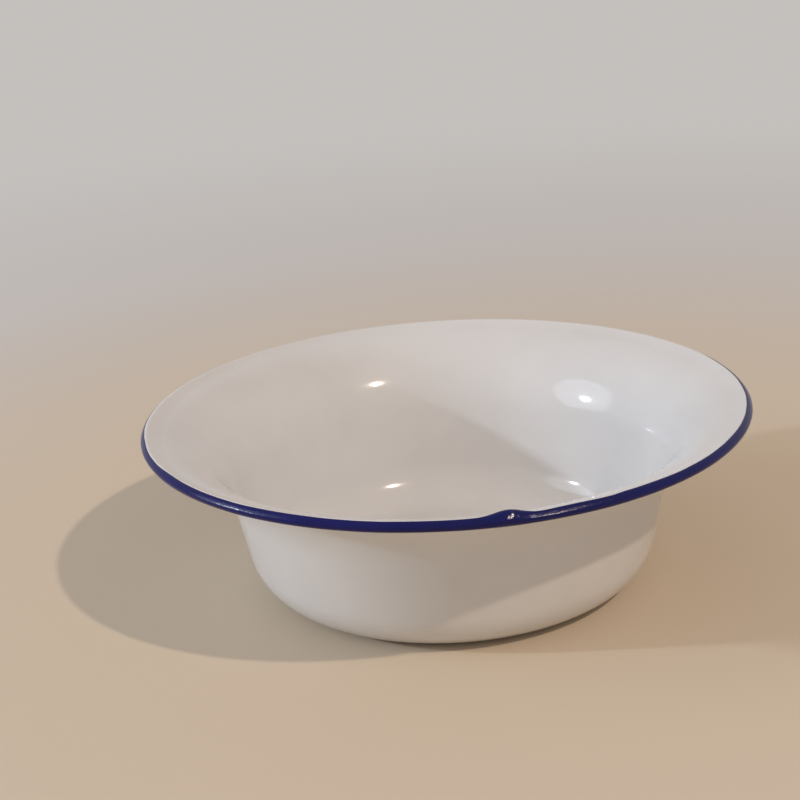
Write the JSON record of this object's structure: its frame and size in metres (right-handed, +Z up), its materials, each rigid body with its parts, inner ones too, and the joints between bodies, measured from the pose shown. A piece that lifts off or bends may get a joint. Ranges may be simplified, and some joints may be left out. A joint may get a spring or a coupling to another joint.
{
  "type": "enamel basin bowl",
  "caption": "Round enamelled steel basin bowl with a flat base, steep wall, wide flared brim and a blue rolled rim, for serving, mixing or holding food.",
  "frame": {"origin": "centre of the base, on the plane that the bowl stands on", "axes": "+Z up along the bowl's axis of revolution; X and Y lie level and are alike, with -Y towards the viewer of the picture"},
  "size_m": [0.2, 0.2, 0.06],
  "materials": {
    "pressed_steel": "satin",
    "ground_enamel": "satin",
    "white_enamel": "gloss",
    "blue_enamel": "gloss"
  },
  "bodies": {
    "root": {"steel_shell": "pressed_steel", "inside_ground_coat": "ground_enamel", "outside_ground_coat": "ground_enamel", "inside_white_coat": "white_enamel", "outside_white_coat": "white_enamel", "rim_blue_coat": "blue_enamel"}
  },
  "joints": []
}
